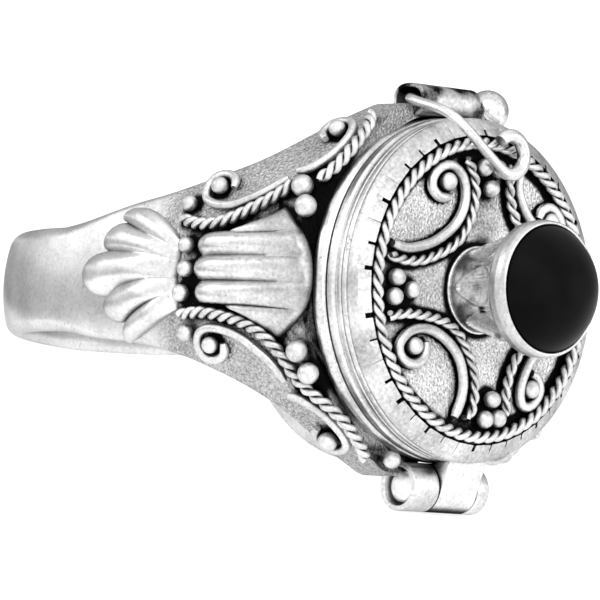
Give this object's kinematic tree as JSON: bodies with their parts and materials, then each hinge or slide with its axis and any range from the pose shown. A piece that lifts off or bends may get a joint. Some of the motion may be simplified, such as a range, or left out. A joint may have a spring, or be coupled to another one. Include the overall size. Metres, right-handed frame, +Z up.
{
  "type": "locket ring",
  "caption": "Silver finger ring whose head is a round hinged locket with a wire latch, scrolled lid and raised black onyx cabochon.",
  "frame": {"origin": "centre of the finger hole, on its axis, midway through the band's width", "axes": "the ring lies on its side: +Z is up from the ground it rests on, +X runs level towards the stone, and +Y from the front shoulder to the back one; the finger axis leans 17 degrees from +Z, away from the stone"},
  "size_m": [0.0356, 0.022, 0.0201],
  "materials": {
    "silver": "polished silver, blackened in its recesses",
    "bright_silver": "bright polished silver",
    "dark_silver": "polished and blackened silver",
    "onyx": "polished black"
  },
  "bodies": {
    "ring": {"shank": "silver", "locket_box": "silver", "hinge_pin": "bright_silver", "shell_front": "bright_silver", "shell_back": "bright_silver", "fluted_barrel_front": "bright_silver", "fluted_barrel_back": "bright_silver", "shoulder_ropes_front": "silver", "shoulder_ropes_back": "silver", "shoulder_scrolls_front": "silver", "shoulder_scrolls_back": "silver", "shoulder_granules_front": "bright_silver", "shoulder_granules_back": "bright_silver"},
    "lid": {"lid": "silver", "toothed_rim": "silver", "rope_ring": "silver", "lid_scroll_ropes": "silver", "lid_scrolls": "silver", "lid_granules": "bright_silver", "collar": "dark_silver", "bezel": "bright_silver", "onyx_stone": "onyx"},
    "latch": {"latch_wire": "bright_silver", "latch_ball": "bright_silver"}
  },
  "joints": [
    {"name": "lid_hinge", "type": "hinge", "parent": "ring", "child": "lid", "pos_m": [0.01957, 0, -0.00417], "axis": [0, 1, 0], "range_deg": [0, 105]},
    {"name": "latch_swing", "type": "hinge", "parent": "ring", "child": "latch", "pos_m": [0.01362, 0, 0.01394], "axis": [0, -1, 0], "range_deg": [0, 150]}
  ]
}
